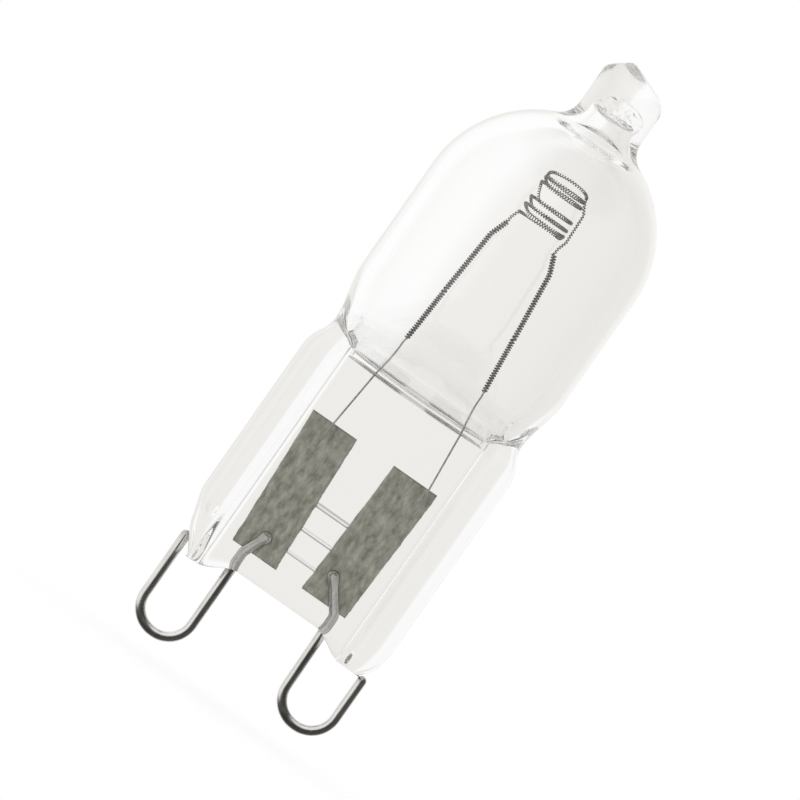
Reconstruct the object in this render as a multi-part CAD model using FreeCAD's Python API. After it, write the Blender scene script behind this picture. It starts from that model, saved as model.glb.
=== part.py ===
import FreeCAD, Part
import math
import os

os.makedirs("parts", exist_ok=True)

# The lamp stands on its pins: +Z runs from the pins to the exhaust tip, X runs across the
# flat pinch and Y through its thickness. Z = 0 is the middle of the pinch's lower end.
V = FreeCAD.Vector

# Quartz bulb
BULB_R = 6.5
WALL = 1.0
DOME_Z = 23.68
NECK_HALF_W = 5.95
NECK_Z = 14.07
NECK_NOTCH_ROUND = 0.3

# Sealed-off exhaust tip
TIP_R = 2.0
TIP_PEAK_X = -0.6
TIP_PEAK_Z = 34.09
TIP_LEFT_Z = 33.0
TIP_RIGHT_X = 1.5
TIP_RIGHT_Z = 33.45
TIP_RIGHT_CORNER_Z = 32.6
TIP_SIDE_Z = 32.8
TIP_EDGE_ROUND = 0.3
TIP_SPLIT_Z = 30.92
BORE_MOUTH_R = 1.5
BORE_R = 0.55
BORE_WAIST_Z = 31.12
BORE_END_Z = 32.41

# Pinch: a thin web between two thick side rails
PINCH_HALF_W = 6.75
WEB_HALF_T = 1.5
RAIL_HALF_T = 2.2
RAIL_FOOT_X = 4.55
RAIL_CREST_X = 5.05
RAIL_FOOT_ROUND = 0.4
RAIL_CREST_ROUND = 0.4
RAIL_EDGE_ROUND = 1.3
SHOULDER_Z = 13.18
SHOULDER_ROUND = 2.2
WEB_END_HALF_W = 2.7
LOBE_Z = -0.85
LOBE_IN_X = 4.5
LEFT_LOBE_OUT_X = 5.2
LEFT_CHAMFER_X = 6.25
LEFT_CHAMFER_Z = 0.8
LEFT_SIDE_Z = 2.77
RIGHT_LOBE_OUT_X = 5.9
RIGHT_CHAMFER_X = 6.6
RIGHT_CHAMFER_Z = -0.2
RIGHT_SIDE_Z = 1.0
DIMPLE_X = -5.65
DIMPLE_Z = 2.0
DIMPLE_R = 0.42
DIMPLE_DEPTH = 0.16

# Closed lower end of the tube, pressed flat front and back and drawn in at the sides
LEDGE_Z = 12.44
LEDGE_ROUND = 0.5
BOWL_SHORT = 1.9
BOWL_Z = 14.1
BOWL_ROUND = 5.0
BOWL_TOP_Z = 17.3
BOWL_TOP_ROUND = 5.0
BULB_CORNER_Z = 16.05
BULB_CORNER_ROUND = 8.0
CREASE_Z = 13.08
CREASE_HALF_T = 0.12
CREASE_HALF_W = 4.3
CREASE_ROUND = 0.8
CAVITY_BOWL_Z = 14.8
CAVITY_BOWL_ROUND = 5.0
CAVITY_CORNER_ROUND = 3.0

# Marks of the jaw across the back of the web
MARK_ZS = (2.4, 3.81, 5.31)
MARK_HALF_LENGTH = 3.2
MARK_R = 0.24
MARK_DEPTH = 0.09

# Molybdenum foils, thinned to a knife edge along both sides
FOIL_W = 2.85
FOIL_T = 0.06
FOIL_EDGE_W = 0.4
FOIL_EDGE_T = 0.016
FOIL_BOTTOM_Z = 1.24
FOIL_TOP_Z = 9.34
LEFT_FOIL_BOTTOM_X = -2.33
LEFT_FOIL_TOP_X = -2.75
RIGHT_FOIL_BOTTOM_X = 2.13
RIGHT_FOIL_TOP_X = 2.43

# Contact pins: round wire bent to a loop below each side of the pinch
PIN_R = 0.3
PIN_WELD = 0.04
LOOP_PITCH = 9.0
LOOP_SHIFT = 0.1
LEFT_LOOP_R = 1.5
RIGHT_LOOP_R = 1.54
LEFT_LOOP_BOTTOM_Z = -5.45
RIGHT_LOOP_BOTTOM_Z = -5.2
LEFT_FREE_END_Z = 0.3
RIGHT_FREE_END_Z = -0.7
RIGHT_PIN_TOP_X = 2.98
PIN_BEND_Z = 1.04
PIN_BEND_ROUND = 0.6
LEFT_PIN_END_X = -2.25
LEFT_PIN_END_Z = 2.61
RIGHT_PIN_END_X = 1.5
RIGHT_PIN_END_Z = 2.97

# Lead wires from the foils up into the bulb
LEAD_R = 0.09
LEAD_WELD = 0.015
LEAD_OVERLAP = 1.6
LEFT_LEAD_FOIL_X = -2.87
RIGHT_LEAD_FOIL_X = 3.27

# Coils slipped over the leads as stiff legs
LEG_R = 0.17
LEG_BOTTOM_Z = 15.26
LEG_KINK_Z = 22.3
LEG_TOP_Z = 23.34
LEG_KINK_ROUND = 0.5
LEG_END_RISE = 0.2
LEFT_LEG_BOTTOM_X = -2.33
LEFT_LEG_KINK_X = -1.82
LEFT_LEG_TOP_X = -1.46
RIGHT_LEG_BOTTOM_X = 2.72
RIGHT_LEG_KINK_X = 1.98
RIGHT_LEG_TOP_X = 1.55

# Filament: coiled wire wound in rising turns that narrow like a beehive
FILAMENT_R = 0.11
FILAMENT_TURNS = 5
FILAMENT_LOW_R = 1.35
FILAMENT_HIGH_R = 0.9
FILAMENT_LOW_X = 0.08
FILAMENT_HIGH_X = 0.3
FILAMENT_LOW_Z = 24.2
FILAMENT_HIGH_Z = 26.95
FILAMENT_RETURN_GAP = 0.35
FILAMENT_POINTS_PER_TURN = 12

# Wires are drawn with flat sides and with bends in steps of so many degrees
BEND_STEP = 15
PIN_SIDES = 14
LEG_SIDES = 10
LEAD_SIDES = 8
FILAMENT_SIDES = 6

# Depth of each embedded piece, measured from the middle of the pinch towards the front
PIN_Y = -(FOIL_T / 2 + PIN_R - PIN_WELD)
LEAD_Y = -(FOIL_T / 2 + LEAD_R - LEAD_WELD)
LOOP_LEFT_X = LOOP_SHIFT - LOOP_PITCH / 2
LOOP_RIGHT_X = LOOP_SHIFT + LOOP_PITCH / 2


def rounded_edges(corners, closed):
    """Straight edges through the corners, each corner rounded by its own radius."""
    count = len(corners)
    cuts = []
    for i, (point, radius) in enumerate(corners):
        inner = closed or 0 < i < count - 1
        if not inner or radius == 0:
            cuts.append((point, point, None))
            continue
        before = (corners[i - 1][0] - point).normalize()
        after = (corners[(i + 1) % count][0] - point).normalize()
        angle = before.getAngle(after)
        reach = radius / math.tan(angle / 2)
        start = point + before * reach
        end = point + after * reach
        middle = (before + after).normalize()
        through = point + middle * (radius / math.sin(angle / 2) - radius)
        cuts.append((start, end, through))
    edges = []
    for i in range(count if closed else count - 1):
        end_of_this = cuts[i][1]
        start_of_next = cuts[(i + 1) % count][0]
        if (end_of_this - start_of_next).Length > 1e-6:
            edges.append(Part.LineSegment(end_of_this, start_of_next).toShape())
        start, end, through = cuts[(i + 1) % count]
        if through is not None:
            edges.append(Part.Arc(start, through, end).toShape())
    return edges


def plate(corners, depth):
    """A plate with a rounded outline, extruded by the depth vector."""
    wire = Part.Wire(Part.__sortEdges__(rounded_edges(corners, True)))
    return Part.Face(wire).extrude(depth)


def bent_wire(corners, radius, sides):
    """Wire along rounded corners, its bends taken in short even steps."""
    points = [corners[0][0]]
    for edge in rounded_edges(corners, False):
        steps = 1
        if isinstance(edge.Curve, Part.Circle):
            steps = math.ceil(math.degrees(edge.Length / edge.Curve.Radius) / BEND_STEP)
        span = edge.LastParameter - edge.FirstParameter
        for i in range(1, steps + 1):
            points.append(edge.valueAt(edge.FirstParameter + span * i / steps))
    return wire_through(points, radius, sides)


def wire_through(points, radius, sides):
    """Wire with flat sides, mitred at each of many close points."""
    rings = []
    facing = V(1, 0, 0)
    last = len(points) - 1
    for i, point in enumerate(points):
        before = (point - points[max(i - 1, 0)]).normalize() if i > 0 else V(0, 0, 0)
        after = (points[min(i + 1, last)] - point).normalize() if i < last else V(0, 0, 0)
        along = (before + after).normalize()
        facing = (facing - along * facing.dot(along)).normalize()
        other = along.cross(facing)
        ring = []
        for k in range(sides):
            angle = 2 * math.pi * k / sides
            ring.append(point + facing * (radius * math.cos(angle)) + other * (radius * math.sin(angle)))
        rings.append(ring)
    faces = []
    for low, high in zip(rings, rings[1:]):
        for k in range(sides):
            n = (k + 1) % sides
            faces.append(Part.Face(Part.makePolygon([low[k], low[n], high[n], low[k]])))
            faces.append(Part.Face(Part.makePolygon([low[k], high[n], high[k], low[k]])))
    for ring in (rings[0], rings[-1]):
        faces.append(Part.Face(Part.makePolygon(ring + ring[:1])))
    return Part.Solid(Part.Shell(faces))


def front(x, z, radius=0.0):
    return V(x, 0, z), radius


def side(y, z, radius=0.0):
    return V(0, y, z), radius


def mirrored(half):
    """A closed outline from the corners of its right half, listed upwards."""
    left = [(V(-p.x, -p.y, p.z), r) for p, r in reversed(half)]
    return half + left


def dome_point(radius, angle):
    """A point on the dome's curve, the angle measured from the lamp's axis."""
    return V(radius * math.sin(angle), 0, DOME_Z + radius * math.cos(angle))


def bulb_round():
    """Tube, dome and exhaust stub as one turned shape."""
    stub_top = TIP_PEAK_Z + 1
    dome_end = V(TIP_R, 0, DOME_Z + math.sqrt(BULB_R**2 - TIP_R**2))
    dome_mid = dome_point(BULB_R, (math.pi / 2 + math.asin(TIP_R / BULB_R)) / 2)
    foot = V(0, 0, LEDGE_Z - 1)
    foot_edge = V(BULB_R, 0, LEDGE_Z - 1)
    tube_top = V(BULB_R, 0, DOME_Z)
    outline = [
        Part.LineSegment(foot, foot_edge).toShape(),
        Part.LineSegment(foot_edge, tube_top).toShape(),
        Part.Arc(tube_top, dome_mid, dome_end).toShape(),
        Part.LineSegment(dome_end, V(TIP_R, 0, stub_top)).toShape(),
        Part.LineSegment(V(TIP_R, 0, stub_top), V(0, 0, stub_top)).toShape(),
        Part.LineSegment(V(0, 0, stub_top), foot).toShape(),
    ]
    return Part.Face(Part.Wire(outline)).revolve(V(0, 0, 0), V(0, 0, 1), 360)


def across_plate(half):
    """A plate through the lamp from front to back, from the right half of its outline."""
    outline = [(p - V(0, BULB_R + 1, 0), r) for p, r in mirrored(half)]
    return plate(outline, V(0, 2 * (BULB_R + 1), 0))


def along_plate(half):
    """A plate through the lamp from side to side, from the back half of its outline."""
    outline = [(p - V(BULB_R + 1, 0, 0), r) for p, r in mirrored(half)]
    return plate(outline, V(2 * (BULB_R + 1), 0, 0))


def closed_end():
    """What the pressed lower end leaves of the tube, seen from the front and from the side."""
    wide = BULB_R + 0.005
    from_front = [
        front(NECK_HALF_W, LEDGE_Z - 1),
        front(NECK_HALF_W, NECK_Z, NECK_NOTCH_ROUND),
        front(wide, BULB_CORNER_Z, BULB_CORNER_ROUND),
        front(wide, TIP_PEAK_Z + 2),
    ]
    from_side = [
        side(WEB_HALF_T, LEDGE_Z - 1),
        side(WEB_HALF_T, LEDGE_Z, LEDGE_ROUND),
        side(BULB_R - BOWL_SHORT, BOWL_Z, BOWL_ROUND),
        side(wide, BOWL_TOP_Z, BOWL_TOP_ROUND),
        side(wide, TIP_PEAK_Z + 2),
    ]
    return across_plate(from_front).common(along_plate(from_side))


def tip_limit():
    """The melted end of the exhaust stub: an off-centre peak between two slopes."""
    low = TIP_SPLIT_Z - 0.5
    far = TIP_R + 1
    across = [
        front(-far, low),
        front(far, low),
        front(far, TIP_RIGHT_CORNER_Z - (far - TIP_R)),
        front(TIP_RIGHT_X, TIP_RIGHT_Z, TIP_EDGE_ROUND),
        front(TIP_PEAK_X, TIP_PEAK_Z, TIP_EDGE_ROUND),
        front(-far, TIP_LEFT_Z - (far - TIP_R)),
    ]
    along = [
        side(-far, low),
        side(far, low),
        side(far, TIP_SIDE_Z - (far - TIP_R)),
        side(TIP_R / 3, TIP_PEAK_Z, TIP_EDGE_ROUND),
        side(-TIP_R / 3, TIP_PEAK_Z, TIP_EDGE_ROUND),
        side(-far, TIP_SIDE_Z - (far - TIP_R)),
    ]
    crosswise = plate([(p - V(0, far, 0), r) for p, r in across], V(0, 2 * far, 0))
    lengthwise = plate([(p - V(far, 0, 0), r) for p, r in along], V(2 * far, 0, 0))
    return crosswise.common(lengthwise)


def bulb_outside():
    """Tube, dome and stub with the pressed lower end and the melted tip."""
    below = Part.makeBox(20, 20, TIP_SPLIT_Z, V(-10, -10, 0))
    return bulb_round().common(closed_end()).common(below.fuse(tip_limit()))


def pinch_outside():
    """The I-shaped pinch, cut to its front outline."""
    base = LOBE_Z - 1
    right = [
        (V(RAIL_FOOT_X, -WEB_HALF_T, base), RAIL_FOOT_ROUND),
        (V(RAIL_CREST_X, -RAIL_HALF_T, base), RAIL_CREST_ROUND),
        (V(PINCH_HALF_W, -RAIL_HALF_T, base), RAIL_EDGE_ROUND),
        (V(PINCH_HALF_W, RAIL_HALF_T, base), RAIL_EDGE_ROUND),
        (V(RAIL_CREST_X, RAIL_HALF_T, base), RAIL_CREST_ROUND),
        (V(RAIL_FOOT_X, WEB_HALF_T, base), RAIL_FOOT_ROUND),
    ]
    left = [(V(-p.x, p.y, p.z), r) for p, r in reversed(right)]
    bar = plate(right + left, V(0, 0, NECK_Z + 2 - base))
    outline = [
        front(-WEB_END_HALF_W, 0, 1.2),
        front(WEB_END_HALF_W, 0, 1.2),
        front(LOBE_IN_X, LOBE_Z, 0.5),
        front(RIGHT_LOBE_OUT_X, LOBE_Z, 0.4),
        front(RIGHT_CHAMFER_X, RIGHT_CHAMFER_Z, 0.5),
        front(PINCH_HALF_W + 0.005, RIGHT_SIDE_Z, 1.0),
        front(PINCH_HALF_W + 0.005, SHOULDER_Z, SHOULDER_ROUND),
        front(NECK_HALF_W, NECK_Z, NECK_NOTCH_ROUND),
        front(NECK_HALF_W - 0.8, NECK_Z + 0.5),
        front(-NECK_HALF_W + 0.8, NECK_Z + 0.5),
        front(-NECK_HALF_W, NECK_Z, NECK_NOTCH_ROUND),
        front(-PINCH_HALF_W - 0.005, SHOULDER_Z, SHOULDER_ROUND),
        front(-PINCH_HALF_W - 0.005, LEFT_SIDE_Z, 1.5),
        front(-LEFT_CHAMFER_X, LEFT_CHAMFER_Z, 1.0),
        front(-LEFT_LOBE_OUT_X, LOBE_Z, 0.5),
        front(-LOBE_IN_X, LOBE_Z, 0.3),
    ]
    deep = RAIL_HALF_T + 1
    limit = plate([(p - V(0, deep, 0), r) for p, r in outline], V(0, 2 * deep, 0))
    return bar.common(limit)


def cavity():
    """The gas space: tube, dome and collapsed bore, ending in a crease above the web."""
    inner_r = BULB_R - WALL
    mouth_z = DOME_Z + math.sqrt(inner_r**2 - BORE_MOUTH_R**2)
    dome_mid = dome_point(inner_r, (math.pi / 2 + math.asin(BORE_MOUTH_R / inner_r)) / 2)
    foot = V(0, 0, CREASE_Z)
    foot_edge = V(inner_r, 0, CREASE_Z)
    tube_top = V(inner_r, 0, DOME_Z)
    mouth = V(BORE_MOUTH_R, 0, mouth_z)
    waist = V(BORE_R, 0, BORE_WAIST_Z)
    end = V(0, 0, BORE_END_Z)
    outline = [
        Part.LineSegment(foot, foot_edge).toShape(),
        Part.LineSegment(foot_edge, tube_top).toShape(),
        Part.Arc(tube_top, dome_mid, mouth).toShape(),
        Part.LineSegment(mouth, waist).toShape(),
        Part.LineSegment(waist, end).toShape(),
        Part.LineSegment(end, foot).toShape(),
    ]
    turned = Part.Face(Part.Wire(outline)).revolve(V(0, 0, 0), V(0, 0, 1), 360)
    wide = inner_r + 0.005
    from_front = [
        front(CREASE_HALF_W, CREASE_Z, CREASE_ROUND),
        front(wide, BULB_CORNER_Z, CAVITY_CORNER_ROUND),
        front(wide, TIP_PEAK_Z),
    ]
    from_side = [
        side(CREASE_HALF_T, CREASE_Z),
        side(inner_r - BOWL_SHORT, CAVITY_BOWL_Z, CAVITY_BOWL_ROUND),
        side(wide, BOWL_TOP_Z, BOWL_TOP_ROUND),
        side(wide, TIP_PEAK_Z),
    ]
    return turned.common(across_plate(from_front)).common(along_plate(from_side))


def jaw_marks():
    """Three shallow grooves pressed across the back of the web."""
    grooves = []
    for z in MARK_ZS:
        start = V(-MARK_HALF_LENGTH, WEB_HALF_T + MARK_R - MARK_DEPTH, z)
        grooves.append(Part.makeCylinder(MARK_R, 2 * MARK_HALF_LENGTH, start, V(1, 0, 0)))
    return grooves


def rail_dimple():
    """A small round dent in the front of the left rail."""
    ball_r = (DIMPLE_R**2 + DIMPLE_DEPTH**2) / (2 * DIMPLE_DEPTH)
    return Part.makeSphere(ball_r, V(DIMPLE_X, -RAIL_HALF_T - ball_r + DIMPLE_DEPTH, DIMPLE_Z))


def foil(bottom_x, top_x):
    """A leaning strip of foil with thin side edges."""
    length = math.hypot(FOIL_TOP_Z - FOIL_BOTTOM_Z, top_x - bottom_x)
    half_w = FOIL_W / 2
    flat = half_w - FOIL_EDGE_W
    section = [
        (V(half_w, -FOIL_EDGE_T / 2, 0), 0.0),
        (V(half_w, FOIL_EDGE_T / 2, 0), 0.0),
        (V(flat, FOIL_T / 2, 0), 0.0),
        (V(-flat, FOIL_T / 2, 0), 0.0),
        (V(-half_w, FOIL_EDGE_T / 2, 0), 0.0),
        (V(-half_w, -FOIL_EDGE_T / 2, 0), 0.0),
        (V(-flat, -FOIL_T / 2, 0), 0.0),
        (V(flat, -FOIL_T / 2, 0), 0.0),
    ]
    strip = plate(section, V(0, 0, length))
    lean = math.degrees(math.atan2(top_x - bottom_x, FOIL_TOP_Z - FOIL_BOTTOM_Z))
    strip.rotate(V(0, 0, 0), V(0, 1, 0), lean)
    strip.translate(V(bottom_x, 0, FOIL_BOTTOM_Z))
    return strip


def contact_pin(loop_x, loop_r, bottom_z, inner_top_x, free_end_z, end_x, end_z, own_foil):
    """Wire welded to the foil, bent straight down out of the glass and back up in a loop."""
    out = math.copysign(1, loop_x)
    inner_x = loop_x - out * loop_r
    outer_x = loop_x + out * loop_r
    turn_z = bottom_z + PIN_R
    path = [
        (V(end_x, PIN_Y, end_z), 0.0),
        (V(inner_top_x, PIN_Y, PIN_BEND_Z), PIN_BEND_ROUND),
        (V(inner_x, PIN_Y, turn_z), loop_r * 0.98),
        (V(outer_x, PIN_Y, turn_z), loop_r * 0.98),
        (V(outer_x, PIN_Y, free_end_z), 0.0),
    ]
    return bent_wire(path, PIN_R, PIN_SIDES).cut(own_foil)


def lead_path(foil_x, leg_bottom_x, kink_x, top_x):
    """Corners of the wire from the foil to the top of the leg."""
    slope = (leg_bottom_x - foil_x) / (LEG_BOTTOM_Z - FOIL_TOP_Z)
    low_x = foil_x - slope * LEAD_OVERLAP
    return [
        (V(low_x, LEAD_Y, FOIL_TOP_Z - LEAD_OVERLAP), 0.0),
        (V(leg_bottom_x, LEAD_Y, LEG_BOTTOM_Z), 3.0),
        (V(kink_x, LEAD_Y, LEG_KINK_Z), LEG_KINK_ROUND),
        (V(top_x, LEAD_Y, LEG_TOP_Z - LEG_END_RISE), 0.0),
        (V(top_x, LEAD_Y, LEG_TOP_Z), 0.0),
    ]


def leg_coil(leg_bottom_x, kink_x, top_x, own_lead):
    """The stiff leg as a close tube over its lead."""
    path = [
        (V(leg_bottom_x, LEAD_Y, LEG_BOTTOM_Z), 0.0),
        (V(kink_x, LEAD_Y, LEG_KINK_Z), LEG_KINK_ROUND),
        (V(top_x, LEAD_Y, LEG_TOP_Z - LEG_END_RISE), 0.0),
        (V(top_x, LEAD_Y, LEG_TOP_Z), 0.0),
    ]
    return bent_wire(path, LEG_R, LEG_SIDES).cut(own_lead)


def filament_coil():
    """One wire: up from the left leg, round in turns, and down outside them to the right leg."""
    steps = int((FILAMENT_TURNS + 0.5) * FILAMENT_POINTS_PER_TURN)
    points = [
        V(LEFT_LEG_TOP_X, LEAD_Y, LEG_TOP_Z),
        V(LEFT_LEG_TOP_X, LEAD_Y, LEG_TOP_Z + 0.3),
    ]
    for i in range(steps + 1):
        share = i / steps
        turn = 2 * math.pi * i / FILAMENT_POINTS_PER_TURN
        radius = FILAMENT_LOW_R + share * (FILAMENT_HIGH_R - FILAMENT_LOW_R)
        x = FILAMENT_LOW_X + share * (FILAMENT_HIGH_X - FILAMENT_LOW_X) - radius * math.cos(turn)
        z = FILAMENT_LOW_Z + share * (FILAMENT_HIGH_Z - FILAMENT_LOW_Z)
        points.append(V(x, LEAD_Y - radius * math.sin(turn), z))
    return_x = FILAMENT_LOW_X + FILAMENT_LOW_R + FILAMENT_RETURN_GAP
    points.append(V(return_x - FILAMENT_R, LEAD_Y + 0.1, FILAMENT_HIGH_Z - 0.15))
    points.append(V(return_x, LEAD_Y + 0.1, FILAMENT_HIGH_Z - 0.5))
    points.append(V(return_x, LEAD_Y, FILAMENT_LOW_Z))
    points.append(V(RIGHT_LEG_TOP_X, LEAD_Y, LEG_TOP_Z + 0.3))
    points.append(V(RIGHT_LEG_TOP_X, LEAD_Y, LEG_TOP_Z))
    return wire_through(points, FILAMENT_R, FILAMENT_SIDES)


left_foil = foil(LEFT_FOIL_BOTTOM_X, LEFT_FOIL_TOP_X)
right_foil = foil(RIGHT_FOIL_BOTTOM_X, RIGHT_FOIL_TOP_X)
left_pin = contact_pin(
    LOOP_LEFT_X, LEFT_LOOP_R, LEFT_LOOP_BOTTOM_Z, LOOP_LEFT_X + LEFT_LOOP_R,
    LEFT_FREE_END_Z, LEFT_PIN_END_X, LEFT_PIN_END_Z, left_foil,
)
right_pin = contact_pin(
    LOOP_RIGHT_X, RIGHT_LOOP_R, RIGHT_LOOP_BOTTOM_Z, RIGHT_PIN_TOP_X,
    RIGHT_FREE_END_Z, RIGHT_PIN_END_X, RIGHT_PIN_END_Z, right_foil,
)
left_path = lead_path(LEFT_LEAD_FOIL_X, LEFT_LEG_BOTTOM_X, LEFT_LEG_KINK_X, LEFT_LEG_TOP_X)
right_path = lead_path(RIGHT_LEAD_FOIL_X, RIGHT_LEG_BOTTOM_X, RIGHT_LEG_KINK_X, RIGHT_LEG_TOP_X)
left_lead = bent_wire(left_path, LEAD_R, LEAD_SIDES).cut(left_foil)
right_lead = bent_wire(right_path, LEAD_R, LEAD_SIDES).cut(right_foil)
left_leg_coil = leg_coil(LEFT_LEG_BOTTOM_X, LEFT_LEG_KINK_X, LEFT_LEG_TOP_X, left_lead)
right_leg_coil = leg_coil(RIGHT_LEG_BOTTOM_X, RIGHT_LEG_KINK_X, RIGHT_LEG_TOP_X, right_lead)
filament = filament_coil()

quartz = bulb_outside().fuse(pinch_outside()).removeSplitter()
quartz = quartz.cut(cavity())
for mark in jaw_marks():
    quartz = quartz.cut(mark)
quartz = quartz.cut(rail_dimple())
for embedded in (left_foil, right_foil, left_pin, right_pin, left_lead, right_lead):
    quartz = quartz.cut(embedded)

quartz.exportStep("parts/quartz_envelope.step")
left_foil.exportStep("parts/left_foil.step")
right_foil.exportStep("parts/right_foil.step")
left_pin.exportStep("parts/left_pin.step")
right_pin.exportStep("parts/right_pin.step")
left_lead.exportStep("parts/left_lead.step")
right_lead.exportStep("parts/right_lead.step")
left_leg_coil.exportStep("parts/left_leg_coil.step")
right_leg_coil.exportStep("parts/right_leg_coil.step")
filament.exportStep("parts/filament.step")
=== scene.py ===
import bmesh
import bpy
import math
from mathutils import Matrix, Vector, noise


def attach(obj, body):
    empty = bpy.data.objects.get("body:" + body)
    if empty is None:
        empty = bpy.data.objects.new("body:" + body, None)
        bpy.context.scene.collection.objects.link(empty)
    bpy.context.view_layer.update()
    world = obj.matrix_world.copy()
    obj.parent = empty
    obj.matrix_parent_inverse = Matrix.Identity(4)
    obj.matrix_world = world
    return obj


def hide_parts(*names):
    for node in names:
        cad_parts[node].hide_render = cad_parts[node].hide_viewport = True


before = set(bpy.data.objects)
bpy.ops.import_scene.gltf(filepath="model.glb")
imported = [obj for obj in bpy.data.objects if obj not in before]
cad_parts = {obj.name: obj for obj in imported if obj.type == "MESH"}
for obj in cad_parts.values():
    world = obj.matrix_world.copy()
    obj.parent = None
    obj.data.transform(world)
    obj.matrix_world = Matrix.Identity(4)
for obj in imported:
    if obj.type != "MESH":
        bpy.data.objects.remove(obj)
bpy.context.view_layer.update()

# Stage: a white room with a pale floor below the pins, and the camera square to the
# front of the flat pinch, far away and rolled so that the lamp leans to the right.
MM = 0.001


def mixed(links, nodes, share, first, second):
    mix = nodes.new("ShaderNodeMixShader")
    links.new(share, mix.inputs["Fac"])
    links.new(first, mix.inputs[1])
    links.new(second, mix.inputs[2])
    return mix.outputs[0]


def room_side(nodes, links, towards, stops):
    """A slightly warm grey that runs across the room from one side (0) to the other (1)."""
    direction = nodes.new("ShaderNodeTexCoord")
    dot = nodes.new("ShaderNodeVectorMath")
    dot.operation = "DOT_PRODUCT"
    dot.inputs[1].default_value = towards
    links.new(direction.outputs["Generated"], dot.inputs[0])
    run = nodes.new("ShaderNodeMapRange")
    run.inputs["From Min"].default_value = -1
    run.inputs["From Max"].default_value = 1
    links.new(dot.outputs["Value"], run.inputs["Value"])
    ramp = nodes.new("ShaderNodeValToRGB")
    ramp.color_ramp.interpolation = "EASE"
    for position, grey in stops[1:-1]:
        ramp.color_ramp.elements.new(position)
    for element, (position, grey) in zip(ramp.color_ramp.elements, stops):
        warm = min((1 - grey) * 8, 1)
        element.color = (grey, grey * (1 - 0.012 * warm), grey * (1 - 0.045 * warm), 1)
    links.new(run.outputs[0], ramp.inputs[0])
    return ramp.outputs["Color"]


def combined(nodes, links, operation, first, second):
    both = nodes.new("ShaderNodeVectorMath")
    both.operation = operation
    links.new(first, both.inputs[0])
    links.new(second, both.inputs[1])
    return both.outputs[0]


def white_world():
    """Even soft light, plain white behind the lamp; glass and metal see warm greys."""
    world = bpy.data.worlds.new("white_room")
    world.use_nodes = True
    nodes = world.node_tree.nodes
    links = world.node_tree.links
    nodes.clear()
    path = nodes.new("ShaderNodeLightPath")
    plain = nodes.new("ShaderNodeBackground")
    plain.inputs["Strength"].default_value = 0.9
    plain.inputs["Color"].default_value = (1, 1, 1, 1)
    white = nodes.new("ShaderNodeBackground")
    white.inputs["Color"].default_value = (1, 1, 1, 1)
    across = room_side(nodes, links, (1, 0, 0), (
        (0.0, 0.9), (0.2, 1.0), (0.45, 1.0), (0.49, 0.89), (0.52, 0.875), (0.7, 0.82), (1.0, 0.86),
    ))
    upward = room_side(nodes, links, (0, 0, 1), (
        (0.0, 0.42), (0.08, 0.6), (0.2, 1.0), (0.8, 1.0), (0.92, 0.6), (1.0, 0.4),
    ))
    through = nodes.new("ShaderNodeBackground")
    links.new(combined(nodes, links, "MINIMUM", across, upward), through.inputs["Color"])
    lamp_side = room_side(nodes, links, (-0.8, -0.1, 0.59), (
        (0.0, 0.08), (0.5, 0.05), (0.64, 0.12), (0.74, 1.0), (1.0, 1.0),
    ))
    behind = room_side(nodes, links, (0, 1, 0), ((0.0, 0.0), (0.6, 0.1), (0.8, 0.8), (1.0, 0.9)))
    mirrored = nodes.new("ShaderNodeBackground")
    links.new(combined(nodes, links, "MAXIMUM", lamp_side, behind), mirrored.inputs["Color"])
    light = mixed(links, nodes, path.outputs["Is Glossy Ray"], plain.outputs[0], mirrored.outputs[0])
    light = mixed(links, nodes, path.outputs["Is Transmission Ray"], light, through.outputs[0])
    light = mixed(links, nodes, path.outputs["Is Camera Ray"], light, white.outputs[0])
    out = nodes.new("ShaderNodeOutputWorld")
    links.new(light, out.inputs["Surface"])
    bpy.context.scene.world = world


def photo_camera():
    """A long lens from far off, rolled about the line of sight."""
    distance = 0.6
    pixels_per_mm = 18.92
    aim = Vector((-0.708, 0, 12.36)) * MM
    data = bpy.data.cameras.new("camera")
    data.sensor_width = 36
    data.lens = pixels_per_mm * distance / MM * data.sensor_width / 800
    data.clip_start = 0.05
    data.clip_end = 5
    camera = bpy.data.objects.new("camera", data)
    bpy.context.collection.objects.link(camera)
    away = Vector((0, -1, 0))
    look = (-away).to_track_quat("-Z", "Y").to_matrix().to_4x4()
    lean = Matrix.Rotation(math.radians(35), 4, "Z")
    camera.matrix_world = Matrix.Translation(aim + away * distance) @ look @ lean
    bpy.context.scene.camera = camera


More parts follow.
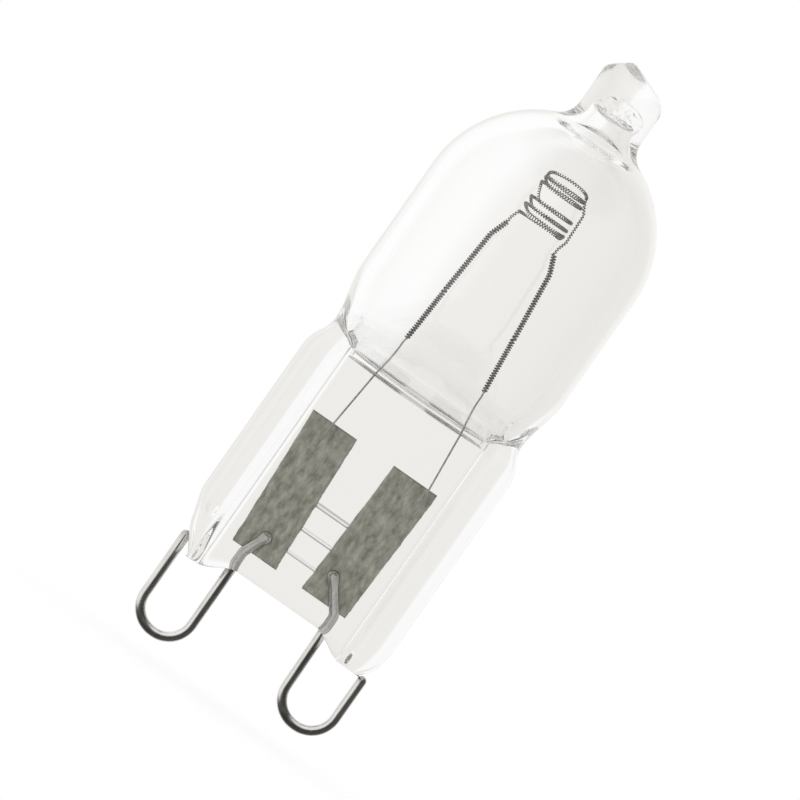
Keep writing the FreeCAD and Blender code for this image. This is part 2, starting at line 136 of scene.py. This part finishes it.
def pale_floor():
    """A wide white sheet under the lamp."""
    mesh = bpy.data.meshes.new("floor")
    shape = bmesh.new()
    bmesh.ops.create_grid(shape, x_segments=1, y_segments=1, size=1.5)
    bmesh.ops.translate(shape, verts=shape.verts, vec=(0, 0, -6.5 * MM))
    shape.to_mesh(mesh)
    shape.free()
    floor = bpy.data.objects.new("floor", mesh)
    bpy.context.collection.objects.link(floor)
    material = bpy.data.materials.new("floor_white")
    material.use_nodes = True
    nodes = material.node_tree.nodes
    links = material.node_tree.links
    path = nodes.new("ShaderNodeLightPath")
    glow = nodes.new("ShaderNodeEmission")
    glow.inputs["Color"].default_value = (1, 1, 1, 1)
    glow.inputs["Strength"].default_value = 1.08
    share = nodes.new("ShaderNodeMath")
    share.operation = "MULTIPLY"
    share.inputs[1].default_value = 0.7
    links.new(path.outputs["Is Camera Ray"], share.inputs[0])
    surface = nodes["Principled BSDF"]
    surface.inputs["Base Color"].default_value = (0.95, 0.95, 0.95, 1)
    surface.inputs["Roughness"].default_value = 0.9
    sheet = mixed(links, nodes, share.outputs[0], surface.outputs[0], glow.outputs[0])
    beyond = nodes.new("ShaderNodeBsdfTransparent")
    seen = nodes.new("ShaderNodeMath")
    seen.operation = "MAXIMUM"
    links.new(path.outputs["Is Glossy Ray"], seen.inputs[0])
    links.new(path.outputs["Is Transmission Ray"], seen.inputs[1])
    past = mixed(links, nodes, seen.outputs[0], sheet, beyond.outputs[0])
    links.new(past, nodes["Material Output"].inputs["Surface"])
    mesh.materials.append(material)


white_world()
photo_camera()
pale_floor()
bpy.context.scene.view_settings.view_transform = "Standard"
bpy.context.scene.cycles.max_bounces = 128
bpy.context.scene.cycles.transmission_bounces = 128
bpy.context.scene.cycles.glossy_bounces = 128


# Quartz envelope: a fused-quartz tube blown to a dome, its exhaust stub melted off on top and
# its lower end softened and pressed flat between jaws into a web with a thick rail each side.
BULB_R = 6.5
DOME_Z = 23.68
LEDGE_Z = 13.1
NECK_Z = 14.07
NECK_HALF_W = 5.95
PINCH_HALF_W = 6.75
WEB_HALF_T = 1.5
RAIL_HALF_T = 2.2
STUB_R = 1.97
WALL = 1.0
KNEE_Z = 14.36
KNEE_HALF_T = 4.6
CREASE_Z = 13.4
BEAD_Z = 12.88
BEAD_HALF_H = 0.31
BEAD_HALF_T = 0.5
MARKS = ((2.4, 0.12), (3.81, 0.13), (5.31, 0.17))
DIMPLE = Vector((-5.65, -2.2, 2.0))
FLARE_R = 1.3
COLUMNS = 288


def joined(a, b, reach):
    """The larger body of two distances, blended over the reach."""
    near = max(reach - abs(a - b), 0) / reach
    return min(a, b) - near * near * reach / 4


def shared(a, b, reach):
    """The body common to two distances, its edge softened over the reach."""
    return -joined(-a, -b, reach)


def ease(low, high, value):
    share = min(max((value - low) / (high - low), 0), 1)
    return share * share * (3 - 2 * share)


def box_distance(x, y, half_x, half_y, corner):
    over_x = abs(x) - half_x + corner
    over_y = abs(y) - half_y + corner
    return math.hypot(max(over_x, 0), max(over_y, 0)) + min(max(over_x, over_y), 0) - corner


def flattened(x, y, half_w, half_t, fullness):
    """Distance from a flattened round section, measured towards its middle."""
    far = ((abs(x) / half_w) ** fullness + (abs(y) / half_t) ** fullness) ** (1 / fullness)
    return math.hypot(x, y) * (1 - 1 / max(far, 0.001))


def bowl(z, foot_t, foot_z, middle_t, middle_z, top_t, top_z):
    """Half depth of the pressed end, opening along two slopes to the full tube."""
    lower = foot_t + (z - foot_z) * (middle_t - foot_t) / (middle_z - foot_z)
    upper = middle_t + (z - middle_z) * (top_t - middle_t) / (top_z - middle_z)
    return joined(joined(lower, upper, 1.1), top_t, 0.8)


def outside(x, y, z):
    """Distance from the outer skin, negative inside the quartz."""
    half_w = PINCH_HALF_W - (PINCH_HALF_W - NECK_HALF_W + 0.1) * ease(11.8, NECK_Z + 0.1, z)
    web = box_distance(x, y, 5.5, WEB_HALF_T, 0.1)
    corner = 0.95 if abs(x) > 5.8 else 0.1
    rail_half_t = RAIL_HALF_T - 0.5 * ease(12.1, NECK_Z + 0.4, z)
    rail = box_distance(abs(x) - 5.65, y, 1.1, rail_half_t, corner)
    flank = (abs(y) - WEB_HALF_T) * 0.58 - (abs(x) - 4.55) * 0.81
    rail = shared(rail, flank, 0.2)
    pinch = shared(joined(web, rail, 0.25), abs(x) - half_w, 0.5)
    if z < LEDGE_Z - 0.4:
        return pinch
    half_t = bowl(z, WEB_HALF_T, LEDGE_Z, KNEE_HALF_T, KNEE_Z, BULB_R, 17.3)
    width = NECK_HALF_W + (BULB_R - NECK_HALF_W) * ease(NECK_Z - 0.4, 17.2, z)
    bulb = flattened(x, y, width, max(half_t, 0.5), 2.7 - 0.7 * ease(13, 18, z))
    return joined(max(pinch, (z - NECK_Z - 0.8) * 0.7), bulb, 0.3)


def inside(x, y, z):
    """Distance from the wall of the gas space, negative in the gas. A flat round bead of gas
    stays below the crease, joined to the bowl by a slit."""
    half_t = bowl(z, 0.03, CREASE_Z, 3.61, 14.72, BULB_R - WALL, 17.26)
    if z < CREASE_Z + 0.4:
        bead = BEAD_HALF_T * math.sqrt(max(1 - ((z - BEAD_Z) / BEAD_HALF_H) ** 2, 0.0001))
        half_t = -joined(-bead, -max(half_t, 0.005), 0.03)
    width = 4.3 + 0.6 * ease(CREASE_Z - 0.1, CREASE_Z + 1.0, z)
    width += 0.6 * ease(CREASE_Z + 0.8, 17.2, z)
    return flattened(x, y, width, half_t, 2.7 - 0.7 * ease(13, 18, z))


def reach_to(skin, start, aim, z):
    """Where a level line from the start towards the aim leaves the body."""
    along = (aim - start).normalized()
    near, far = 0.0, 8.0
    for _ in range(20):
        middle = (near + far) / 2
        point = start + along * middle
        if skin(point.x, point.y, z) < 0:
            near = middle
        else:
            far = middle
    return start + along * near


def column_angle(share):
    """Columns round the lamp, closest together at the two rails."""
    return 2 * math.pi * share - 0.4 * math.sin(4 * math.pi * share)


def ring(skin, z, spread):
    """One level row, seen from the axis (spread 0) or from a line across the lamp (1)."""
    points = []
    for aim in round_ring(BULB_R, z):
        start = Vector((min(max(aim.x, -5.6), 5.6) * spread, 0, z))
        points.append(reach_to(skin, start, aim, z))
    return points


def round_ring(r, z):
    angles = [column_angle(i / COLUMNS) for i in range(COLUMNS)]
    return [Vector((r * math.cos(a), r * math.sin(a), z)) for a in angles]


def side_half_width(x, z):
    """The lower corners: a long slope at the left, a short one at the right."""
    if x < 0:
        return PINCH_HALF_W - 0.5 * ease(2.9, 0.8, z) - 1.0 * ease(1.2, -1.1, z)
    return PINCH_HALF_W - 0.2 * ease(1.2, -0.2, z) - 0.6 * ease(0.2, -1.1, z)


def lower_edge(section, round_r):
    """Rows over the pinch's lower edge, from its middle line out and up round the rim."""
    rows = []
    for share in (0.0, 0.35, 0.7):
        deep = [p.y * share * (1 - round_r / max(abs(p.y), round_r)) for p in section]
        rows.append([Vector((p.x, y, 0)) for p, y in zip(section, deep)])
    for step in range(9):
        turn = step / 8 * math.pi / 2
        inset = round_r * (1 - math.sin(turn))
        lift = round_r * (1 - math.cos(turn))
        row = []
        for p in section:
            across = p.x - math.copysign(inset * ease(6.2, 6.75, abs(p.x)), p.x)
            deep = math.copysign(max(abs(p.y) - inset, 0), p.y)
            row.append(Vector((across, deep, lift)))
        rows.append(row)
    return rows


def pinch_rings():
    """The pinch with its lobes, slanted corners, the jaw's marks behind and the dent in front."""
    section = ring(outside, 4.0, 1)
    rings = lower_edge(section, 0.45)
    levels = [0.5 + 0.1 * i for i in range(25)] + [8.0]
    levels += [z + half * i / 6 for z, half in MARKS for i in (-7, -6, -5, -1, 0, 1, 5, 6, 7)]
    rings += [[Vector((p.x, p.y, z)) for p in section] for z in sorted(levels)]
    dent_r = 0.42
    for row in rings:
        for p in row:
            for z, half in MARKS:
                depth = 1.2 * max(half - abs(p.z - z), 0) * ease(3.3, 3.1, abs(p.x))
                p.y -= depth * ease(1.0, 1.4, p.y)
            off = math.hypot(p.x - DIMPLE.x, p.z - DIMPLE.z) / dent_r
            p.y += 0.1 * max(1 - off * off, 0) * ease(-1.5, -1.9, p.y)
            p.z -= 0.85 * ease(2.5, 4.6, abs(p.x)) * max(1 - p.z / 1.6, 0)
            over = max(abs(p.x) - 4.9, 0) / (PINCH_HALF_W - 4.9)
            p.x -= math.copysign(over * (PINCH_HALF_W - side_half_width(p.x, p.z)), p.x)
    return rings


def tip_z(x, y):
    """The melted end of the stub: an off-centre peak between slopes."""
    left = 34.11 + 0.77 * (x + 0.75)
    right = 34.11 - 0.42 * (x + 0.75)
    corner = 33.45 - 1.5 * (x - 1.45)
    front = 34.39 - 0.5 * abs(y) - 0.25 * y * y
    return joined(joined(joined(left, right, 0.25), corner, 0.3), front, 0.4)


def wrapped(rings):
    """A closed skin laid over a grid, one row of the grid to each ring."""
    shape = bmesh.new()
    columns = len(rings[0])
    rows = len(rings) - 1
    bmesh.ops.create_grid(shape, x_segments=columns, y_segments=rows, size=0.5)
    for vertex in shape.verts:
        column = round((vertex.co.x + 0.5) * columns) % columns
        row = round((vertex.co.y + 0.5) * rows)
        vertex.co = rings[row][column] * MM
    bmesh.ops.remove_doubles(shape, verts=shape.verts, dist=0.0000005)
    bmesh.ops.dissolve_degenerate(shape, edges=shape.edges, dist=0.0000002)
    bmesh.ops.recalc_face_normals(shape, faces=shape.faces)
    for face in shape.faces:
        face.smooth = True
    return shape


def dome_rings(wall):
    """The dome and the flare that leads into the stub, so far in from the outer skin."""
    leave = math.acos((STUB_R + FLARE_R) / (BULB_R + FLARE_R))
    centre_z = DOME_Z + (BULB_R + FLARE_R) * math.sin(leave)
    rings = []
    for step in range(28):
        turn = leave * step / 28
        r = BULB_R - wall
        rings.append(round_ring(r * math.cos(turn), DOME_Z + r * math.sin(turn)))
    for step in range(13):
        turn = leave * (1 - step / 12)
        across = (FLARE_R + wall) * math.cos(turn)
        down = (FLARE_R + wall) * math.sin(turn)
        rings.append(round_ring(STUB_R + FLARE_R - across, centre_z - down))
    return rings


def outer_skin():
    rings = pinch_rings()
    levels = [11.7 + 0.1 * i for i in range(10)] + [12.69 + 0.05 * i for i in range(11)]
    levels += [13.22 + 0.06 * i for i in range(12)] + [13.97 + 0.12 * i for i in range(39)] + [21.0]
    rings += [ring(outside, z, 1 - ease(13.6, 17.0, z)) for z in levels]
    rings += dome_rings(0)
    low = 31.9
    rings += [round_ring(STUB_R, z) for z in (31.0, 31.4, low)]
    rim = round_ring(STUB_R, 0)
    for share in (0.3, 0.6, 0.85):
        rings.append([Vector((p.x, p.y, low + (tip_z(p.x, p.y) - 0.25 - low) * share)) for p in rim])
    for step in range(7):
        turn = math.radians(15 * step)
        row = round_ring(STUB_R - 0.25 * (1 - math.cos(turn)), 0)
        rings.append([Vector((p.x, p.y, tip_z(p.x, p.y) - 0.25 * (1 - math.sin(turn)))) for p in row])
    for share in (0.8, 0.7, 0.6, 0.5, 0.4, 0.3, 0.2, 0.1, 0.0):
        row = round_ring(STUB_R * share, 0)
        rings.append([Vector((p.x, p.y, tip_z(p.x, p.y))) for p in row])
    return wrapped(rings)


def gas_skin():
    """The gas space, from the crease up to the bore that collapsed in wrinkles in the stub."""
    slit = ring(inside, BEAD_Z - BEAD_HALF_H - 0.01, 0)
    rings = [[Vector((p.x, 0, p.z)) for p in slit]]
    levels = [BEAD_Z - (BEAD_HALF_H - 0.001) * math.cos(math.radians(a)) for a in range(10, 171, 8)]
    levels += [CREASE_Z - 0.2 + 0.04 * i for i in range(18)]
    levels += [CREASE_Z + 0.5 + 5.1 * (1 - math.cos(math.radians(a))) for a in range(8, 86, 2)]
    levels += [21.0]
    rings += [ring(inside, z, 0) for z in levels]
    for row in rings:
        for p in row:
            fade = min(max(1 - (p.z - CREASE_Z) / 2.0, 0), 1)
            p.z += 0.12 * min(abs(p.x) / 4.3, 1) ** 2 * fade
    rings += dome_rings(WALL)
    mouth = rings[-1]
    for step in range(1, 25):
        share = step / 24
        narrow = math.sqrt(1 - share * share)
        row = []
        for p in mouth:
            flat = 1 - 0.88 * ease(0, 0.35, share)
            across = p.x * (1 + 0.35 * share) * narrow + 0.2 * share
            here = Vector((across, p.y * flat * narrow, p.z + 1.35 * share))
            here.y += 0.25 * ease(0, 0.3, share) * noise.noise(here * 2.1)
            here.y += 0.09 * ease(0, 0.3, share) * noise.noise(here * 5.3)
            row.append(here)
        rings.append(row)
    closing = rings[-1][0].copy()
    closing.x = 0.2
    rings[-1] = [closing] * COLUMNS
    return wrapped(rings)


def quartz_material():
    """Clear fused quartz with a faint grey haze in its depth: painted shade that darkens the long paths
    through the glass at its edges.
    """
    material = bpy.data.materials.new("clear_quartz")
    material.use_nodes = True
    nodes = material.node_tree.nodes
    surface = nodes["Principled BSDF"]
    surface.inputs["Base Color"].default_value = (1.0, 1.0, 1.0, 1)
    surface.inputs["Transmission Weight"].default_value = 1.0
    surface.inputs["Roughness"].default_value = 0.0
    surface.inputs["IOR"].default_value = 1.458
    # Painted shade: the absorption greys the glass most where light runs far through it, as along its
    # edges.
    painted_shade_haze = nodes.new("ShaderNodeVolumeAbsorption")
    painted_shade_haze.inputs["Color"].default_value = (0.5, 0.5, 0.49, 1)
    painted_shade_haze.inputs["Density"].default_value = 6
    material.node_tree.links.new(painted_shade_haze.outputs[0], nodes["Material Output"].inputs["Volume"])
    return material


def placed(name, shape, material, node):
    """A finished mesh in place of its plain node."""
    mesh = bpy.data.meshes.new(name)
    shape.to_mesh(mesh)
    shape.free()
    mesh.materials.append(material)
    piece = bpy.data.objects.new(name, mesh)
    bpy.context.collection.objects.link(piece)
    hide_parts(node)
    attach(piece, "root")
    return piece


def quartz_envelope():
    """The outer skin and, turned inside out within it, the gas space."""
    shape = outer_skin()
    hollow = gas_skin()
    bmesh.ops.reverse_faces(hollow, faces=hollow.faces)
    inner = bpy.data.meshes.new("hollow")
    hollow.to_mesh(inner)
    hollow.free()
    shape.from_mesh(inner)
    bpy.data.meshes.remove(inner)
    placed("clear_envelope", shape, quartz_material(), "quartz_envelope")


quartz_envelope()


# Foils: two strips of rolled molybdenum, etched to knife edges so that the quartz can seal
# round them, mottled and a little crumpled by the heat of the pressing.
FOIL_W = 2.85
FOIL_BOTTOM_Z = 1.24
FOIL_TOP_Z = 9.34


def mottled(name, dark, light, stretch, metallic, roughness, relief):
    """A grey metal with streaks drawn out along the lamp."""
    material = bpy.data.materials.new(name)
    material.use_nodes = True
    nodes = material.node_tree.nodes
    links = material.node_tree.links
    surface = nodes["Principled BSDF"]
    surface.inputs["Metallic"].default_value = metallic
    place = nodes.new("ShaderNodeTexCoord")
    scaled = nodes.new("ShaderNodeMapping")
    scaled.inputs["Scale"].default_value = stretch
    links.new(place.outputs["Object"], scaled.inputs["Vector"])
    mottle = nodes.new("ShaderNodeTexNoise")
    mottle.inputs["Scale"].default_value = 1.0
    mottle.inputs["Detail"].default_value = 6
    mottle.inputs["Roughness"].default_value = 0.62
    links.new(scaled.outputs[0], mottle.inputs["Vector"])
    ramp = nodes.new("ShaderNodeValToRGB")
    ramp.color_ramp.elements[0].position = 0.34
    ramp.color_ramp.elements[0].color = dark
    ramp.color_ramp.elements[1].position = 0.66
    ramp.color_ramp.elements[1].color = light
    links.new(mottle.outputs[0], ramp.inputs[0])
    links.new(ramp.outputs[0], surface.inputs["Base Color"])
    worn = nodes.new("ShaderNodeMapRange")
    worn.inputs["From Min"].default_value = 0.3
    worn.inputs["From Max"].default_value = 0.7
    worn.inputs["To Min"].default_value = roughness
    worn.inputs["To Max"].default_value = roughness + 0.15
    links.new(mottle.outputs[0], worn.inputs["Value"])
    links.new(worn.outputs[0], surface.inputs["Roughness"])
    bump = nodes.new("ShaderNodeBump")
    bump.inputs["Strength"].default_value = 0.6
    bump.inputs["Distance"].default_value = relief * MM
    links.new(mottle.outputs[0], bump.inputs["Height"])
    links.new(bump.outputs[0], surface.inputs["Normal"])
    return material


def foil(name, bottom_x, top_x, material):
    """A leaning strip whose section thins to an edge, ragged along both sides."""
    rings = []
    rows = 110
    around = 48
    for row in range(rows + 1):
        share = row / rows
        z = FOIL_BOTTOM_Z + share * (FOIL_TOP_Z - FOIL_BOTTOM_Z)
        closing = min(min(share, 1 - share) * 110, 1)
        middle = bottom_x + share * (top_x - bottom_x)
        points = []
        for k in range(around):
            turn = 2 * math.pi * k / around
            side = math.copysign(1, math.cos(turn))
            ragged = 0.035 * noise.noise(Vector((side * 9 + middle, z * 1.6, 3)))
            ragged += 0.02 * noise.noise(Vector((side * 5, z * 6, 7)))
            half = FOIL_W / 2 - 0.03 + ragged
            x = middle + half * math.cos(turn)
            crumple = 0.012 * noise.noise(Vector((x * 1.5, z * 0.7, 1)))
            points.append(Vector((x, 0.03 * math.sin(turn) * closing + crumple, z)))
        rings.append(points)
    placed(name, wrapped(rings), material, name.replace("_strip", ""))


foil_metal = mottled(
    "foil_metal", (0.26, 0.26, 0.21, 1), (0.62, 0.62, 0.54, 1), (2600, 2600, 1300), 0.2, 0.4, 0.02,
)
foil("left_foil_strip", -2.33, -2.75, foil_metal)
foil("right_foil_strip", 2.13, 2.43, foil_metal)


# Contact pins: nickel-plated wire with a swollen weld head on the foil, bent straight down out
# of the glass and back up in a loop that a sprung contact slot grips; the free ends are cropped.
PIN_R = 0.28
PIN_Y = -0.29
WELD_HEAD = 1.3


def bent_path(corners):
    """Points along straight runs whose corners are rounded, close together in the bends."""
    points = [Vector(corners[0][0])]
    for (before, _), (corner, radius), (after, _) in zip(corners, corners[1:], corners[2:]):
        corner = Vector(corner)
        to_before = (Vector(before) - corner).normalized()
        to_after = (Vector(after) - corner).normalized()
        half = to_before.angle(to_after) / 2
        centre = corner + (to_before + to_after).normalized() * (radius / math.sin(half))
        start = corner + to_before * (radius / math.tan(half)) - centre
        end = corner + to_after * (radius / math.tan(half)) - centre
        steps = max(int((math.pi - 2 * half) / 0.1), 3)
        for i in range(steps + 1):
            points.append(centre + start.slerp(end, i / steps).normalized() * radius)
    points.append(Vector(corners[-1][0]))
    return points


def carried(points):
    """Each point of a path with two directions square to it, carried along without twist."""
    stations = []
    last = len(points) - 1
    facing = (points[1] - points[0]).orthogonal()
    for i, point in enumerate(points):
        along = (points[min(i + 1, last)] - points[max(i - 1, 0)]).normalized()
        facing = (facing - along * facing.dot(along)).normalized()
        stations.append((point, facing, along.cross(facing)))
    return stations


def wire(points, radius, sides, head=1.0):
    """Round wire along a path, both ends rounded off and the first swollen to a head."""
    ahead = (points[1] - points[0]).normalized() * radius * head
    back = (points[-2] - points[-1]).normalized() * radius
    caps = [(1 - math.sin(math.radians(a)), math.cos(math.radians(a))) for a in (90, 68, 45, 22, 0)]
    path = [points[0] + ahead * rise for rise, _ in caps]
    path += points[1:-1]
    path += [points[-1] + back * rise for rise, _ in reversed(caps)]
    radii = [radius * head * share for _, share in caps]
    radii += [radius] * (len(points) - 2)
    radii += [radius * share for _, share in reversed(caps)]
    rings = []
    for (point, facing, other), r in zip(carried(path), radii):
        turns = [2 * math.pi * k / sides for k in range(sides)]
        rings.append([point + facing * (r * math.cos(t)) + other * (r * math.sin(t)) for t in turns])
    return wrapped(rings)


def pin(name, corners, material):
    """One pin through its corners (x, z, bend radius), from the weld to the free end."""
    path = bent_path([((x, PIN_Y, z), radius) for x, z, radius in corners])
    path.insert(1, path[0].lerp(path[1], 0.45))
    path[0].y -= 0.07
    placed(name, wire(path, PIN_R, 28, WELD_HEAD), material, name.replace("_wire", ""))


def painted_shade_in_glass(material):
    """Painted shade: darkens the wire's colour from where it enters the glass, in place of the dark
    surroundings that the wire reflects there.
    """
    nodes = material.node_tree.nodes
    links = material.node_tree.links
    place = nodes.new("ShaderNodeTexCoord")
    height = nodes.new("ShaderNodeSeparateXYZ")
    links.new(place.outputs["Object"], height.inputs[0])
    bright = nodes.new("ShaderNodeMapRange")
    bright.inputs["From Min"].default_value = -0.3 * MM
    bright.inputs["From Max"].default_value = 0.4 * MM
    bright.inputs["To Min"].default_value = 1.0
    bright.inputs["To Max"].default_value = 0.6
    links.new(height.outputs["Z"], bright.inputs["Value"])
    colour = nodes["Principled BSDF"].inputs["Base Color"]
    dimmed = nodes.new("ShaderNodeVectorMath")
    dimmed.operation = "SCALE"
    links.new(colour.links[0].from_socket, dimmed.inputs[0])
    links.new(bright.outputs[0], dimmed.inputs["Scale"])
    links.new(dimmed.outputs[0], colour)


pin_metal = mottled(
    "pin_metal", (0.62, 0.61, 0.58, 1), (0.86, 0.85, 0.82, 1), (3000, 3000, 500), 1.0, 0.14, 0.003,
)
# Painted shade: the pins are made darker inside the glass.
painted_shade_in_glass(pin_metal)
pin("left_pin_wire", (
    (-2.2, 2.66, 0), (-2.9, 1.04, 0.6), (-2.9, -5.15, 1.47), (-5.9, -5.15, 1.47), (-5.9, 0.3, 0),
), pin_metal)
pin("right_pin_wire", (
    (1.55, 3.0, 0), (2.98, 1.04, 0.6), (3.06, -4.9, 1.51), (6.14, -4.9, 1.51), (6.14, -0.7, 0),
), pin_metal)


# Leads and legs: a thin tungsten wire from each foil, and over its upper part a close coil of
# finer wire that stiffens it and holds the filament's tail.
LEAD_R = 0.05
LEG_COIL_R = 0.125
LEG_WIRE_R = 0.042
LEG_PITCH = 0.15
LEG_BOTTOM_Z = 15.26
LEG_KINK_Z = 22.3
LEG_TOP_Z = 23.3
WIRE_Y = -0.105


def evenly(points, gap):
    """The same path with a point at every gap."""
    spaced = [points[0]]
    left = gap
    for start, end in zip(points, points[1:]):
        length = (end - start).length
        while left <= length:
            spaced.append(start.lerp(end, left / length))
            left += gap
        left -= length
    return spaced


def coiled(points, coil_r, pitch, per_turn):
    """The path of a finer coil wound round a path."""
    wound = []
    for i, (point, facing, other) in enumerate(carried(evenly(points, pitch / per_turn))):
        turn = 2 * math.pi * i / per_turn
        wound.append(point + facing * (coil_r * math.cos(turn)) + other * (coil_r * math.sin(turn)))
    return wound


def leg(side, foil_x, bottom_x, kink_x, top_x, bright, material):
    """A lead from where it lies on the foil to the filament's tail, and the coil over it."""
    slope = (bottom_x - foil_x) / (LEG_BOTTOM_Z - FOIL_TOP_Z)
    lead = (
        ((foil_x - slope * 1.6, WIRE_Y, FOIL_TOP_Z - 1.6), 0),
        ((bottom_x, WIRE_Y, LEG_BOTTOM_Z), 3.0),
        ((kink_x, WIRE_Y, LEG_KINK_Z), 0.5),
        ((top_x, WIRE_Y, LEG_TOP_Z), 0),
    )
    placed(f"{side}_lead_wire", wire(bent_path(lead), LEAD_R, 16), bright, f"{side}_lead")
    sleeve = (
        ((bottom_x, WIRE_Y, LEG_BOTTOM_Z), 0),
        ((kink_x, WIRE_Y, LEG_KINK_Z), 0.5),
        ((top_x, WIRE_Y, LEG_TOP_Z + 0.04), 0),
    )
    coil = coiled(bent_path(sleeve), LEG_COIL_R, LEG_PITCH, 12)
    placed(f"{side}_leg_winding", wire(coil, LEG_WIRE_R, 6), material, f"{side}_leg_coil")


tungsten = mottled(
    "tungsten_wire", (0.1, 0.095, 0.09, 1), (0.24, 0.23, 0.22, 1), (5000, 5000, 5000), 0.7, 0.35, 0.003,
)
drawn_wire = mottled(
    "drawn_wire", (0.3, 0.29, 0.27, 1), (0.6, 0.58, 0.55, 1), (5000, 5000, 2500), 0.5, 0.35, 0.003,
)
leg("left", -2.87, -2.33, -1.82, -1.46, drawn_wire, tungsten)
leg("right", 3.27, 2.72, 1.98, 1.55, drawn_wire, tungsten)


# Filament: fine tungsten wire coiled, and that coil wound again in five level laps and a half
# lap that arches over the top; its far end is led down outside, each tail into its leg.
LAP_ZS = (24.15, 24.7, 25.18, 26.12, 26.46, 26.58)
LAP_STEPS = 48
LAP_R = 1.35
TOP_LAP_R = 1.2


def filament(material):
    path = [Vector((-1.46, WIRE_Y, LEG_TOP_Z)), Vector((-1.46, WIRE_Y, 23.65))]
    last = len(LAP_ZS) - 1
    for i in range(last * LAP_STEPS + LAP_STEPS // 2 + 1):
        lap = i // LAP_STEPS
        part = i / LAP_STEPS - lap
        turn = 2 * math.pi * i / LAP_STEPS
        radius = LAP_R - (LAP_R - TOP_LAP_R) * i / (LAP_STEPS * (last + 0.5))
        step_up = ease(0.84, 1.0, part)
        z = LAP_ZS[lap] + (LAP_ZS[min(lap + 1, last)] - LAP_ZS[lap]) * step_up
        if lap == 0:
            z += 0.22 * ease(0.42, 0.5, part) * (1 - step_up)
        if lap == last:
            z += 0.35 * abs(math.sin(turn)) ** 0.5
        path.append(Vector((0.08 - radius * math.cos(turn), WIRE_Y - radius * math.sin(turn), z)))
    path += [Vector((1.42, 0, 26.3)), Vector((1.66, 0, 25.9)), Vector((1.72, WIRE_Y, 24.2))]
    path += [Vector((1.55, WIRE_Y, 23.65)), Vector((1.55, WIRE_Y, LEG_TOP_Z))]
    coil = coiled(path, 0.065, 0.16, 9)
    placed("filament_coil", wire(coil, 0.033, 5), material, "filament")


filament_metal = mottled(
    "filament_metal", (0.16, 0.155, 0.15, 1), (0.4, 0.39, 0.37, 1), (5000, 5000, 5000), 0.6, 0.35, 0.003,
)
filament(filament_metal)
